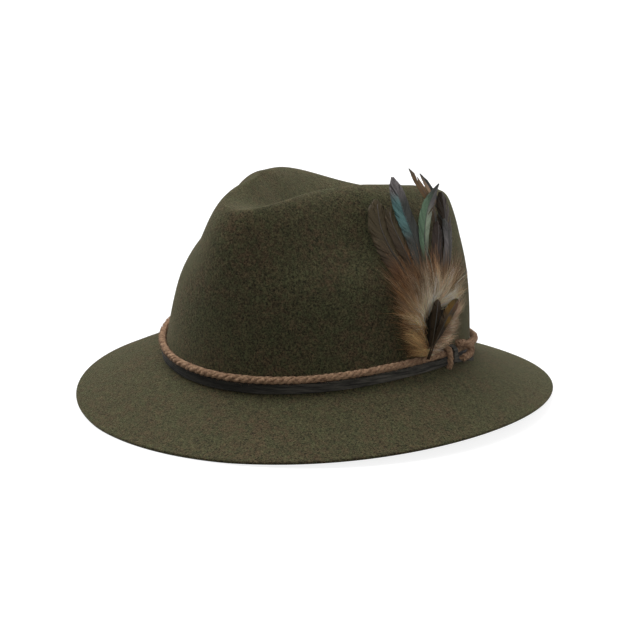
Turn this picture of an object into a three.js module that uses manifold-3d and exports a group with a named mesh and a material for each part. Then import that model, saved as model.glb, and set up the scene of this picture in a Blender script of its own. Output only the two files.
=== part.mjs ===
// Tyrolean hat: a felt crown and brim in one shell, a cord and a strap round the crown's foot,
// a knot at the wearer's left, and a plume of long feathers, fur and two small feathers.
// Millimetres, +Z up. The hat's front faces -Y and the wearer's left is +X.
// The origin is the middle of the brim, on the plane that the brim rests on.
import * as THREE from 'three';
import { mergeVertices } from 'three/addons/utils/BufferGeometryUtils.js';
import Module from 'manifold-3d';

const wasm = await Module();
wasm.setup();

// General clearance between pieces that touch
const gap = 0.3;

// Felt body
const felt = 2.0;             // thickness of the felt
const brimLength = 309.0;     // front to back
const brimWidth = 277.8;      // side to side
const brimSideLift = 6.9;     // the sides of the brim stand higher than its front and back
const brimCurl = 1.09;        // 1 is a straight slope, more bends the brim down at its edge
const restDepth = 0.7;        // how far the felt is pressed flat where it rests
const restStrip = 1.4;        // width of that flat strip
const bandLength = 196.7;     // outside of the crown at its foot, front to back
const bandWidth = 177.2;      // outside of the crown at its foot, side to side
const breakFront = 21.8;      // height of the crown's foot above the table at the front
const breakSide = 29.6;       // at the sides
const breakBack = 17.8;       // at the back
const fillet = 3.0;           // rounding between brim and crown
const crownRise = 108.0;      // the crown's ridge over the mean height of its foot
const crestLength = 160.8;    // the ridge line, front to back
const crestWidth = 84.2;      // the ridge line, side to side
const dentDepth = 30.8;       // the floor of the top's dent below the ridge, at its middle
const dentFall = 0.12;        // slope of that floor down towards the back
const dentRound = 0.95;       // the dent's walls turn from the ridge line into this share of its ellipse
const pinchDepth = 10.0;      // the two finger dents at the front
const pinchHeight = 0.730;    // their middle, as a share of the wall's height
const pinchBelow = 0.150;     // how fast they fade below and above, as shares of that height
const pinchAbove = 0.274;
const wallRound = 2.73;       // powers of the wall's rounding, upwards and inwards
const wallShoulder = 1.69;

// Stations of the crown every 22.5 degrees from the front to the back, alike on both sides.
// reach: share of the crest ellipse, rise: share of crownRise, pinch: share of pinchDepth,
// lean: how far the wall is a straight slope instead of a rounded one
const crownStations = [
  { reach: 1.159, rise: 0.860, pinch: -0.26, lean: -0.14 },
  { reach: 0.773, rise: 0.986, pinch: 0.39, lean: 0.06 },
  { reach: 0.775, rise: 0.979, pinch: 1.00, lean: 0.37 },
  { reach: 0.927, rise: 1.000, pinch: 0.82, lean: 0.28 },
  { reach: 0.930, rise: 0.982, pinch: 0.37, lean: 0.07 },
  { reach: 1.118, rise: 0.976, pinch: 0.14, lean: 0.00 },
  { reach: 1.394, rise: 0.924, pinch: 0.07, lean: 0.15 },
  { reach: 1.286, rise: 0.799, pinch: 0.07, lean: 0.38 },
  { reach: 1.222, rise: 0.767, pinch: 0.02, lean: 0.41 },
];

// Cord and strap round the crown's foot
const cordRadius = 2.2;
const cordHeight = 9.3;       // middle of the cord over the crown's foot
const cordMeeting = 0.35;     // half the gap between the cord's ends, in degrees
const strapLift = 1.1;        // lower edge of the strap over the crown's foot
const strapThick = 1.4;
const strapBevel = 0.4;       // its upper outer edge

// Knot at the wearer's left, angles in degrees from the front
const knotAngle = 88.7;
const wrapRadius = 1.7;       // the cord's turn over cord and strap
const wrapWallGap = 0.6;      // its upper end off the crown's wall
const strapWrapAngle = 93.3;  // the strap's turn over the cord
const strapWrapWidth = 4.2;
const strapWrapThick = 1.3;
const strapWrapStart = 118;   // where the turn starts, in degrees over the cord's outer side
const strapWrapTail = 5.6;    // how far its end hangs below the cord's middle
const endRadius = 2.2;        // the cord's free end
const endStart = 2.9;         // its start, in degrees past the strap's turn
const endClearance = 0.4;     // between it and the cord
const tailStart = 3.5;        // the strap's free end, in degrees past the strap's turn
const tailTurn = 11;          // how far it goes round
const tailHeight = 5.0;
const tailThick = 1.3;
const tailLift = 3.0;         // how far its end stands off the strap
const tailDrop = 1.2;         // and how far it falls

// The cord's free end round the cord: degrees past its start, and shares of the distance between the two
// cords' middles, upwards and outwards
const endRoute = [
  { turn: 0, rise: 0.95, out: 0.36 },
  { turn: 3.3, rise: 0.78, out: 0.78 },
  { turn: 6.0, rise: 0.22, out: 1.16 },
  { turn: 5.2, rise: -0.42, out: 1.26 },
  { turn: 2.4, rise: -0.74, out: 1.20 },
  { turn: -0.4, rise: -0.80, out: 1.14 },
];

// Plume
const plumeAngle = 79.0;      // where the quills stand, in degrees from the front
const plumeHeight = 102.0;    // from the quills' foot to the tallest tip
const rootStandoff = 0.9;     // quills off the crown's wall at their foot
const shoulderStandoff = 3.5; // and where the crown turns in
const shoulderRise = 45.0;    // height of that place over the quills' foot
const sheetBend = 1.6;        // power of the feathers' lean after the crown
const layerPitch = 1.1;       // from one layer of feathers to the next
const bladeThick = 0.7;       // a feather along its rachis
const vaneThick = 0.3;        // and at its edges
const quillWidth = 1.5;
const furReach = 58.0;        // height of the fur's tallest locks
const furThick = 5.2;         // the fur's pad
const lockBow = 0.07;         // how far a lock bends upwards, as a share of its length
const lockSpread = 2.1;       // a lock's width over its thickness
const padShare = 0.62;        // size of the pad between the locks, as a share of their reach
const smallHeight = 32.0;     // height of the two small feathers
const smallPitch = 1.1;

// Long feathers, from the crown outwards. line: the middle of the feather from its foot to its tip, each
// point an angle in degrees from plumeAngle and a height as a share of plumeHeight
const longFeathers = [
  {
    name: 'feather_broad_olive', layer: 0, width: 16.0, form: 'blunt', color: '#3e3421',
    line: [[-3.0, 0], [-4.4, 0.24], [-6.7, 0.44], [-12.1, 0.60], [-14.2, 0.71], [-13.5, 0.84]],
  },
  {
    name: 'feather_tan_spike', layer: 0, width: 4.8, form: 'spike', color: '#6d4f35',
    line: [[0.2, 0], [4.9, 0.28], [9.6, 0.53], [13.4, 0.71], [12.9, 0.80], [10.4, 0.87], [5.6, 1.00]],
  },
  {
    name: 'feather_grey_spike', layer: 0, width: 4.8, form: 'spike', color: '#2e3132',
    line: [[1.8, 0], [8.4, 0.30], [14.1, 0.57], [17.5, 0.73], [15.9, 0.83], [10.4, 0.97]],
  },
  {
    name: 'feather_brown_teal', layer: 1, width: 9.0, form: 'leaf', color: '#3b3327',
    line: [[-2.6, 0], [-2.6, 0.25], [-3.5, 0.47], [-6.3, 0.60], [-9.0, 0.72], [-8.8, 0.80]],
  },
  {
    name: 'feather_purple_black', layer: 1, width: 13.0, form: 'leaf', color: '#2c2425',
    line: [[3.4, 0], [10.8, 0.30], [17.1, 0.57], [18.9, 0.72], [19.3, 0.86]],
  },
  {
    name: 'feather_teal', layer: 2, width: 11.5, form: 'blunt', color: '#33454a',
    line: [[-1.6, 0], [0.1, 0.30], [0.2, 0.50], [-0.3, 0.62], [-3.0, 0.77], [-4.1, 0.96]],
  },
  {
    name: 'feather_plum', layer: 2, width: 9.0, form: 'blunt', color: '#3a2f30',
    line: [[1.6, 0], [5.2, 0.25], [8.6, 0.49], [11.9, 0.63], [12.9, 0.71]],
  },
  {
    name: 'feather_green', layer: 3, width: 8.4, form: 'lance', color: '#3c5344',
    line: [[-0.4, 0], [1.0, 0.30], [3.0, 0.57], [5.2, 0.70], [9.6, 0.81], [17.1, 0.91]],
  },
  {
    name: 'feather_slate', layer: 3, width: 7.0, form: 'leaf', color: '#363a38',
    line: [[2.8, 0], [8.8, 0.27], [13.9, 0.49], [16.5, 0.59], [16.0, 0.72]],
  },
];

// Width of a feather at stations along its length, as shares of its own width
const bladeStations = [0, 0.13, 0.26, 0.39, 0.52, 0.64, 0.75, 0.85, 0.94, 1];
const bladeForms = {
  leaf: [0, 0, 0.25, 0.55, 0.80, 0.95, 1.0, 0.94, 0.70, 0.20],
  blunt: [0, 0, 0.30, 0.62, 0.84, 0.96, 1.0, 0.98, 0.80, 0.34],
  lance: [0, 0, 0.20, 0.30, 0.42, 0.74, 1.0, 0.86, 0.44, 0.10],
  spike: [0, 0, 0.30, 0.45, 0.60, 0.75, 0.90, 1.0, 0.82, 0.10],
};

// Small feathers in front of the fur: heights as shares of smallHeight
const smallFeathers = [
  {
    name: 'small_feather_dark', layer: 0, width: 6.2, form: 'blunt', color: '#2b2015',
    line: [[-4.8, 0], [-2.8, 0.24], [-1.4, 0.48], [0.2, 0.74], [1.7, 1.00]],
  },
  {
    name: 'small_feather_gold', layer: 1, width: 7.4, form: 'leaf', color: '#33260f',
    line: [[-4.9, 0], [-1.9, 0.27], [1.8, 0.51], [6.0, 0.74], [11.2, 0.93]],
  },
];

// The line that the fur's locks grow from: degrees from plumeAngle, heights as shares of furReach
const furCore = [[-5.9, 0.04], [-7.0, 0.17], [-7.2, 0.29], [-4.8, 0.45], [1.0, 0.55], [8.6, 0.57]];

// Tips of the locks, and the share of that line where each starts
const furTips = [
  { from: 0.00, tip: [-10.4, 0.05] },
  { from: 0.02, tip: [-13.4, 0.14] },
  { from: 0.08, tip: [-15.0, 0.25] },
  { from: 0.16, tip: [-15.4, 0.37] },
  { from: 0.24, tip: [-15.5, 0.50] },
  { from: 0.30, tip: [-15.6, 0.63] },
  { from: 0.38, tip: [-16.6, 0.78] },
  { from: 0.46, tip: [-12.9, 0.90] },
  { from: 0.54, tip: [-6.6, 0.95] },
  { from: 0.62, tip: [0.4, 0.97] },
  { from: 0.70, tip: [7.6, 0.95] },
  { from: 0.78, tip: [14.8, 0.90] },
  { from: 0.84, tip: [21.6, 0.80] },
  { from: 0.88, tip: [23.9, 0.66] },
  { from: 0.92, tip: [23.2, 0.52] },
  { from: 0.80, tip: [21.4, 0.40] },
  { from: 0.60, tip: [18.6, 0.28] },
  { from: 0.34, tip: [15.0, 0.18] },
  { from: 0.12, tip: [9.0, 0.09] },
];

// A lock along its length: place and thickness as shares
const lockShape = [[0, 0.6], [0.35, 1], [0.72, 0.72], [1, 0.14]];

// Rows of the felt's section, edge to middle
const aroundCount = 60;
const brimRows = [0.12, 0.32, 0.54, 0.76];
const filletRows = [0, 0.4, 0.75, 1];
const wallRows = [0.05, 0.13, 0.21, 0.28, 0.34, 0.40, 0.46, 0.52, 0.59, 0.67, 0.75, 0.83, 0.91, 1];
const dentRows = [0.9, 0.77, 0.6, 0.4, 0.2];

// Steps of the smaller pieces
const cordSteps = 76;
const arcSteps = 7;
const tailSteps = 5;
const lockSides = 5;

// Small tools for shapes

const rad = THREE.MathUtils.degToRad;
const deg = THREE.MathUtils.radToDeg;
const mix = THREE.MathUtils.lerp;

function ellipse(length, width, angle) {
  return 1 / Math.hypot(Math.cos(angle) / (length / 2), Math.sin(angle) / (width / 2));
}

// Smooth curve of a station column, mirrored at the front and the back
function station(column, angle) {
  const last = crownStations.length - 1;
  const turn = Math.abs(Math.atan2(Math.sin(angle), Math.cos(angle)));
  const place = (turn / Math.PI) * last;
  const first = Math.min(Math.floor(place), last - 1);
  const f = place - first;
  const at = (k) => crownStations[k < 0 ? -k : k > last ? 2 * last - k : k][column];
  const weights = [(1 - f) ** 3, 3 * f ** 3 - 6 * f ** 2 + 4, -3 * f ** 3 + 3 * f ** 2 + 3 * f + 1, f ** 3];
  return weights.reduce((sum, w, k) => sum + w * at(first - 1 + k), 0) / 6;
}

function tableValue(rows, key, value, x) {
  const after = rows.findIndex((row) => row[key] >= x);
  if (after < 0) return rows[rows.length - 1][value];
  if (after === 0) return rows[0][value];
  const low = rows[after - 1];
  const high = rows[after];
  return mix(low[value], high[value], (x - low[key]) / (high[key] - low[key]));
}

function merged(geometry) {
  geometry.deleteAttribute('normal');
  geometry.deleteAttribute('uv');
  const clean = mergeVertices(geometry, 1e-4);
  clean.computeVertexNormals();
  return clean;
}

function geometryOf(points, triangles) {
  const geometry = new THREE.BufferGeometry();
  geometry.setFromPoints(points);
  geometry.setIndex(triangles.flat());
  geometry.computeVertexNormals();
  return geometry;
}

// Skin over a list of rings with as many points each; closed along, or capped at both ends
function loft(rings, closed) {
  const sides = rings[0].length;
  const triangles = [];
  const joins = closed ? rings.length : rings.length - 1;
  for (let i = 0; i < joins; i++) {
    const next = (i + 1) % rings.length;
    for (let j = 0; j < sides; j++) {
      const k = (j + 1) % sides;
      triangles.push([i * sides + j, i * sides + k, next * sides + k]);
      triangles.push([i * sides + j, next * sides + k, next * sides + j]);
    }
  }
  if (!closed) {
    const end = (rings.length - 1) * sides;
    for (let j = 1; j < sides - 1; j++) {
      triangles.push([0, j + 1, j]);
      triangles.push([end, end + j, end + j + 1]);
    }
  }
  return geometryOf(rings.flat(), triangles);
}

// Round tube along a curve
function tube(points, radius, sides, steps) {
  const circle = new THREE.Shape(Array.from({ length: sides }, (_, k) => {
    const turn = (2 * Math.PI * k) / sides;
    return new THREE.Vector2(radius * Math.cos(turn), radius * Math.sin(turn));
  }));
  const path = new THREE.CatmullRomCurve3(points);
  return merged(new THREE.ExtrudeGeometry(circle, { steps, bevelEnabled: false, extrudePath: path }));
}

function toManifold(geometry) {
  const clean = merged(geometry.clone());
  const mesh = new wasm.Mesh({
    numProp: 3,
    vertProperties: new Float32Array(clean.attributes.position.array),
    triVerts: new Uint32Array(clean.index.array),
  });
  mesh.merge();
  return new wasm.Manifold(mesh);
}

function fused(geometries) {
  const whole = geometries.map(toManifold).reduce((sum, part) => sum.add(part));
  const mesh = whole.getMesh();
  const geometry = new THREE.BufferGeometry();
  geometry.setAttribute('position', new THREE.Float32BufferAttribute(mesh.vertProperties, 3));
  geometry.setIndex(Array.from(mesh.triVerts));
  return merged(geometry);
}

// Felt body

const meanBreak = (breakFront + breakBack + 2 * breakSide) / 4;
const crestTop = meanBreak + crownRise;

// Height of the crown's foot round the hat
function breakHeight(angle) {
  const swing = (breakFront - breakBack) / 2;
  const dip = (breakFront + breakBack - 2 * breakSide) / 4;
  return meanBreak + swing * Math.cos(angle) + dip * Math.cos(2 * angle);
}

// The outer face as radius and height, from the brim's edge to the middle of the dent
function section(angle) {
  const edge = ellipse(brimLength, brimWidth, angle);
  const band = ellipse(bandLength, bandWidth, angle);
  const foot = breakHeight(angle);
  const edgeHeight = felt - restDepth + brimSideLift * Math.sin(angle) ** 2;
  const slope = (r) => edgeHeight + (foot - edgeHeight) * (1 - ((r - band) / (edge - band)) ** brimCurl);
  const rows = [edge, edge - restStrip];
  for (const share of brimRows) rows.push(mix(edge, band + fillet, share));
  const points = rows.map((r) => [r, Math.max(slope(r), felt)]);
  const filletFoot = slope(band + fillet);
  for (const t of filletRows) {
    const rest = 1 - t;
    const up = filletFoot * rest ** 2 + 2 * foot * t * rest + (foot + fillet) * t ** 2;
    points.push([band + fillet * rest ** 2, up]);
  }
  const crest = station('reach', angle) * ellipse(crestLength, crestWidth, angle);
  const top = meanBreak + crownRise * station('rise', angle);
  const lean = station('lean', angle);
  const pinch = pinchDepth * station('pinch', angle);
  const start = foot + fillet;
  for (const v of wallRows) {
    const turn = (v * Math.PI) / 2;
    const up = Math.sin(turn) ** (2 / wallRound);
    const rounded = v === 1 ? 0 : Math.cos(turn) ** (2 / wallShoulder);
    const inward = mix(rounded, 1 - up, lean);
    const fade = (up - pinchHeight) / (up < pinchHeight ? pinchBelow : pinchAbove);
    points.push([mix(crest, band, inward) - pinch * Math.exp(-(fade ** 2)), mix(start, top, up)]);
  }
  const heart = dentRound * ellipse(crestLength, crestWidth, angle);
  for (const q of dentRows) {
    const reach = q * mix(heart, crest, q ** 1.5);
    const floor = crestTop - dentDepth + dentFall * reach * Math.cos(angle);
    points.push([reach, mix(floor, top, q ** 3 * (4 - 3 * q))]);
  }
  return points;
}

const footRow = 2 + brimRows.length;
const crestRow = footRow + filletRows.length + wallRows.length - 1;

function onSection(angle, [r, z]) {
  return new THREE.Vector3(r * Math.sin(angle), -r * Math.cos(angle), z);
}

const aroundAngle = (j) => (2 * Math.PI * j) / aroundCount;

function feltBody() {
  const outer = Array.from({ length: aroundCount }, (_, j) => {
    const angle = aroundAngle(j);
    return section(angle).map((p) => onSection(angle, p));
  });
  const rowCount = outer[0].length;
  const floor = crestTop - dentDepth;
  const apex = new THREE.Vector3(0, 0, floor);
  const point = (i, j) => (i >= rowCount ? apex : outer[(j + aroundCount) % aroundCount][i]);
  // The inner face lies square behind the outer one, and straight under it where the edge is pressed flat
  const inward = (i, j) => {
    if (i < 2 && point(i, j).z <= felt) return point(i, j).clone().setZ(0);
    const round = point(i, j + 1).clone().sub(point(i, j - 1));
    const along = point(i + 1, j).clone().sub(point(Math.max(i - 1, 0), j));
    return point(i, j).clone().addScaledVector(round.cross(along).normalize(), -felt);
  };
  const innerRows = [];
  for (let i = rowCount - 1; i >= 0; i--) {
    const onBrim = i < footRow;
    const onWall = i >= footRow + filletRows.length && i < crestRow;
    if (onBrim || !onWall || (crestRow - i) % 2 === 0) innerRows.push(i);
  }
  const rings = innerRows.map((i) => Array.from({ length: aroundCount }, (_, j) => {
    const p = inward(i, j);
    return new THREE.Vector3(p.x, p.y, Math.max(p.z, 0));
  }));
  for (let i = 0; i < rowCount; i++) rings.push(Array.from({ length: aroundCount }, (_, j) => point(i, j)));
  const points = rings.flat();
  const triangles = [];
  for (let i = 0; i < rings.length - 1; i++) {
    for (let j = 0; j < aroundCount; j++) {
      const k = (j + 1) % aroundCount;
      const row = i * aroundCount;
      const next = row + aroundCount;
      triangles.push([row + j, row + k, next + k]);
      triangles.push([row + j, next + k, next + j]);
    }
  }
  const under = points.push(apex.clone().setZ(floor - felt)) - 1;
  const over = points.push(apex) - 1;
  const lastRow = (rings.length - 1) * aroundCount;
  for (let j = 0; j < aroundCount; j++) {
    const k = (j + 1) % aroundCount;
    triangles.push([under, k, j]);
    triangles.push([over, lastRow + j, lastRow + k]);
  }
  return geometryOf(points, triangles);
}

// Places beside the crown's wall

// Radius of the wall's outer face at a height over the table
function wallRadius(angle, height) {
  const wall = section(angle).slice(footRow, crestRow + 1);
  const above = wall.findIndex((p) => p[1] >= height);
  if (above < 0) return wall[wall.length - 1][0];
  if (above === 0) return wall[0][0];
  const low = wall[above - 1];
  const high = wall[above];
  return mix(low[0], high[0], (height - low[1]) / (high[1] - low[1]));
}

// A point at an angle in degrees, a height over the crown's foot and a distance off the wall
function beside(degrees, height, out) {
  const angle = rad(degrees);
  const z = breakHeight(angle) + height;
  const away = new THREE.Vector3(Math.sin(angle) / bandWidth ** 2, -Math.cos(angle) / bandLength ** 2, 0);
  return onSection(angle, [wallRadius(angle, z), z]).addScaledVector(away.normalize(), out);
}

const cordOut = gap + cordRadius;

// The cord: once round the crown, its ends meeting under its own turn at the knot
function cord() {
  const points = Array.from({ length: aroundCount + 1 }, (_, k) => {
    const degrees = knotAngle + cordMeeting + ((360 - 2 * cordMeeting) * k) / aroundCount;
    return beside(degrees, cordHeight, cordOut);
  });
  return tube(points, cordRadius, 8, cordSteps);
}

const strapTop = cordHeight - cordRadius - gap;
const strapOut = gap + strapThick;

// The strap: a flat ring below the cord
function strap() {
  const corners = [
    [strapTop, gap],
    [strapTop, strapOut - strapBevel],
    [strapTop - strapBevel, strapOut],
    [strapLift, strapOut],
    [strapLift, gap],
  ];
  const rings = Array.from({ length: aroundCount }, (_, j) => {
    const degrees = (360 * j) / aroundCount;
    return corners.map(([height, out]) => beside(degrees, height, out));
  });
  return loft(rings, true);
}

// The cord's turn over cord and strap, open towards the wall
function cordWrap() {
  const reach = cordRadius + gap + wrapRadius;
  const diagonal = reach * Math.SQRT1_2;
  const route = [
    [wrapWallGap + wrapRadius, cordHeight + reach],
    [cordOut + diagonal, cordHeight + diagonal],
    [cordOut + reach, cordHeight],
    [cordOut + reach, (strapLift + strapTop) / 2],
    [strapOut + gap + 2 * wrapRadius, strapLift],
  ];
  return tube(route.map(([out, height]) => beside(knotAngle, height, out)), wrapRadius, 8, 12);
}

// The strap's turn over the cord: a bent strip with a short end hanging over the strap
function strapWrap() {
  const inner = cordRadius + gap;
  const outer = inner + strapWrapThick;
  const startAngle = rad(strapWrapStart);
  const arc = (radius, k) => {
    const turn = startAngle * (1 - k / arcSteps);
    return [cordOut + radius * Math.cos(turn), cordHeight + radius * Math.sin(turn)];
  };
  const strip = [];
  for (let k = 0; k <= arcSteps; k++) strip.push([arc(inner, k), arc(outer, k)]);
  const endHeight = cordHeight - strapWrapTail;
  strip.push([[cordOut + inner, endHeight], [cordOut + outer, endHeight]]);
  const middle = beside(strapWrapAngle, 0, 0);
  const half = deg(strapWrapWidth / 2 / Math.hypot(middle.x, middle.y));
  const rings = strip.map(([near, far]) => [
    beside(strapWrapAngle - half, near[1], near[0]),
    beside(strapWrapAngle + half, near[1], near[0]),
    beside(strapWrapAngle + half, far[1], far[0]),
    beside(strapWrapAngle - half, far[1], far[0]),
  ]);
  return loft(rings, false);
}

// The cord's free end: over the top of the cord, round and forward again
function cordEnd() {
  const apart = cordRadius + endClearance + endRadius;
  const first = strapWrapAngle + endStart;
  const route = endRoute.map(({ turn, rise, out }) => {
    return beside(first + turn, cordHeight + apart * rise, cordOut + apart * out);
  });
  return tube(route, endRadius, 8, 14);
}

// The strap's free end, lying on the strap and turning away from it
function strapTail() {
  const low = (strapLift + strapTop - tailHeight) / 2;
  const rings = Array.from({ length: tailSteps + 1 }, (_, k) => {
    const share = k / tailSteps;
    const degrees = strapWrapAngle + tailStart + tailTurn * share;
    const out = strapOut + gap + tailLift * share ** 2;
    const drop = tailDrop * share ** 2;
    return [
      beside(degrees, low - drop + tailHeight, out),
      beside(degrees, low - drop + tailHeight, out + tailThick),
      beside(degrees, low - drop, out + tailThick),
      beside(degrees, low - drop, out),
    ];
  });
  return loft(rings, false);
}

// Plume

const rootHeight = cordHeight + cordRadius + 2 * gap;
const rootZ = breakHeight(rad(plumeAngle)) + rootHeight;

// A point of the sheet that the feathers lie in: it follows the wall and leans in over the shoulder
function onSheet(degrees, z, off) {
  const angle = rad(degrees);
  const low = wallRadius(angle, rootZ) + rootStandoff;
  const high = wallRadius(angle, rootZ + shoulderRise) + shoulderStandoff;
  const rise = Math.max(0, (z - rootZ) / shoulderRise);
  return onSection(angle, [low - (low - high) * rise ** sheetBend + off, z]);
}

// A point given in millimetres along the sheet from the plume's foot
const sheetRadius = wallRadius(rad(plumeAngle), rootZ + shoulderRise);

function onSheetFlat(along, up, off) {
  return onSheet(plumeAngle + deg(along / sheetRadius), rootZ + up, off);
}

// The same millimetres from an angle off plumeAngle and a share of a height
function flat([degrees, share], height) {
  return new THREE.Vector2(rad(degrees) * sheetRadius, share * height);
}

// A feather's blade: lens-shaped sections along a bent middle line in the sheet
function blade(feather, height, off) {
  const middle = new THREE.SplineCurve(feather.line.map((p) => flat(p, height)));
  const rings = bladeForms[feather.form].map((share, i) => {
    const here = middle.getPointAt(bladeStations[i]);
    const way = middle.getTangentAt(bladeStations[i]);
    const half = Math.max(quillWidth, feather.width * share) / 2;
    const at = (side, lift) => {
      const across = side * half;
      return onSheetFlat(here.x + way.y * across, here.y - way.x * across, off + lift);
    };
    const vane = vaneThick / 2;
    const rachis = bladeThick / 2;
    return [at(-1, vane), at(0, rachis), at(1, vane), at(1, -vane), at(0, -rachis), at(-1, -vane)];
  });
  return loft(rings, false);
}

const topLayer = Math.max(...longFeathers.map((f) => f.layer)) * layerPitch + bladeThick / 2;
const furOff = topLayer + gap + furThick / 2;

// One tapered lock of fur: it leaves the fur's core and bends upwards in a shallow arc
function lock(foot, tip, off) {
  const way = tip.clone().sub(foot);
  const side = new THREE.Vector2(way.y, -way.x).normalize();
  const rings = lockShape.map(([t, share]) => {
    const here = foot.clone().addScaledVector(way, t);
    here.y += lockBow * way.length() * 4 * t * (1 - t);
    const radius = (furThick / 2) * share;
    const lift = off - (furThick / 2 - radius) / 2;
    return Array.from({ length: lockSides }, (_, k) => {
      const around = (2 * Math.PI * k) / lockSides;
      const p = here.clone().addScaledVector(side, radius * lockSpread * Math.cos(around));
      return onSheetFlat(p.x, Math.max(p.y, 0), lift + radius * Math.sin(around));
    }).reverse();
  });
  return loft(rings, false);
}

// The fur: a thick pad with locks round it
function fur() {
  const core = new THREE.SplineCurve(furCore.map((p) => flat(p, furReach)));
  const tips = furTips.map(({ tip }) => flat(tip, furReach));
  const box = new THREE.Box2().setFromPoints(tips);
  const middle = box.getCenter(new THREE.Vector2());
  const half = box.getSize(new THREE.Vector2()).multiplyScalar(padShare / 2);
  const pad = new THREE.SphereGeometry(1, 16, 8);
  const place = pad.attributes.position;
  for (let i = 0; i < place.count; i++) {
    const along = middle.x + place.getX(i) * half.x;
    const up = middle.y + place.getY(i) * half.y;
    const p = onSheetFlat(along, up, furOff + (place.getZ(i) * furThick) / 2);
    place.setXYZ(i, p.x, p.y, p.z);
  }
  const locks = furTips.map(({ from }, k) => lock(core.getPointAt(from), tips[k], furOff));
  return fused([pad, ...locks]);
}

// The whole hat

const group = new THREE.Group();

function add(name, geometry, color, roughness) {
  const material = new THREE.MeshStandardMaterial({ color, roughness, metalness: 0 });
  const mesh = new THREE.Mesh(geometry, material);
  mesh.name = name;
  group.add(mesh);
}

add('felt_body', feltBody(), '#4b4834', 0.95);
add('cord', cord(), '#6b4c38', 0.95);
add('strap', strap(), '#262622', 0.6);
add('cord_wrap', cordWrap(), '#6b4c38', 0.95);
add('strap_wrap', strapWrap(), '#2a2d2f', 0.6);
add('cord_end', cordEnd(), '#75583f', 0.95);
add('strap_tail', strapTail(), '#2a2d2f', 0.6);

for (const feather of longFeathers) {
  add(feather.name, blade(feather, plumeHeight, feather.layer * layerPitch), feather.color, 0.45);
}

add('fur', fur(), '#6d5c48', 1.0);

const smallOff = furOff + furThick / 2 + gap + bladeThick / 2;
for (const feather of smallFeathers) {
  add(feather.name, blade(feather, smallHeight, smallOff + feather.layer * smallPitch), feather.color, 0.45);
}

export default group;
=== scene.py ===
import math
from collections import namedtuple

import bpy
import numpy as np
from mathutils import Matrix, Vector
from mathutils.bvhtree import BVHTree


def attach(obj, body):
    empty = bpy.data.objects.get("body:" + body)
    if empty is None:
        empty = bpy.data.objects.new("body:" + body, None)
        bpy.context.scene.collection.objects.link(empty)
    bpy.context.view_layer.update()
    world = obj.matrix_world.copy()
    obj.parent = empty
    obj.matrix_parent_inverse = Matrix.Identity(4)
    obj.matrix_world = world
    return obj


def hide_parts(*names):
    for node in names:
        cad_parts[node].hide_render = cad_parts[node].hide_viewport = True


bl_info = {
    "name": "Tyrolean hat",
    "version": (1, 0, 0),
    "blender": (4, 5, 0),
    "location": "3D View > Sidebar > Hat",
    "description": "A green felt hat with cord, strap, feathers and fur round its packed frame",
    "category": "Object",
}

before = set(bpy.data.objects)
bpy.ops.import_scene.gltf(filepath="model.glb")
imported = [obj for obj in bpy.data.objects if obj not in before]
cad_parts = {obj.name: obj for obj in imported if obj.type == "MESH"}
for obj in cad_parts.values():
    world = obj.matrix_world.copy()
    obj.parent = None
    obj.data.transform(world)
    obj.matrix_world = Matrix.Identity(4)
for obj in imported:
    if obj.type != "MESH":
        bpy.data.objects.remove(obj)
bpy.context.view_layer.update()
MM = 0.001


# Settings

def setting(kind, name, description, default, **more):
    """One value on the panel, of a kind of bpy.props"""
    made = getattr(bpy.props, kind + "Property")
    return made(name=name, description=description, default=default, **more)


def length(*texts):
    return setting("Float", *texts, unit="LENGTH", precision=5)


def turned(name, description, degrees):
    return setting("Float", name, description, math.radians(degrees), subtype="ANGLE")


def color(*texts):
    return setting("FloatVector", *texts, subtype="COLOR", size=3, min=0.0, max=1.0)


def count(*texts):
    return setting("Int", *texts, min=0)


class HatFeltSettings(bpy.types.PropertyGroup):
    base: color("Olive", "Main colour of the wool", (0.046, 0.0416, 0.0198))
    brown: color("Brown", "Brown wool in the mottling", (0.056, 0.038, 0.0205))
    green: color("Green", "Green wool in the mottling", (0.038, 0.042, 0.0185))
    light: color("Light fibres", "Pale loose fibres on the felt", (0.150, 0.135, 0.080))
    fuzz_count: count("Fibres", "Loose fibres that stand off the felt", 15000)
    fuzz_length: length("Fibre length", "Longest loose fibre", 1.7 * MM)


class HatTrimSettings(bpy.types.PropertyGroup):
    cord_radius: length("Cord radius", "Half the cord's thickness", 2.2 * MM)
    cord_height: length("Cord height", "Middle of the cord over the crown's foot", 9.3 * MM)
    cord_turns: count("Cord twists", "Turns of the cord's strands once round the hat", 46)
    cord_color: color("Cord", "Colour of the cord's wool", (0.58, 0.375, 0.235))
    cord_light: color("Cord fleck", "Colour of the cord's pale flecks", (0.36, 0.22, 0.13))
    cord_dark: color("Cord shade", "Colour between the cord's strands", (0.15, 0.082, 0.046))
    strap_low: length("Strap foot", "Lower edge of the strap over the crown's foot", 1.1 * MM)
    strap_high: length("Strap top", "Upper edge of the strap over the crown's foot", 6.8 * MM)
    strap_thick: length("Strap thickness", "Thickness of the strap", 1.4 * MM)
    strap_color: color("Strap", "Colour of the dark strap", (0.0065, 0.0062, 0.0048))
    # Lighter colour laid in noise streaks along the strap, most on the knot's side
    strap_light: color("Strap ridges", "Colour worn onto the strap's ridges", (0.13, 0.12, 0.10))


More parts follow.
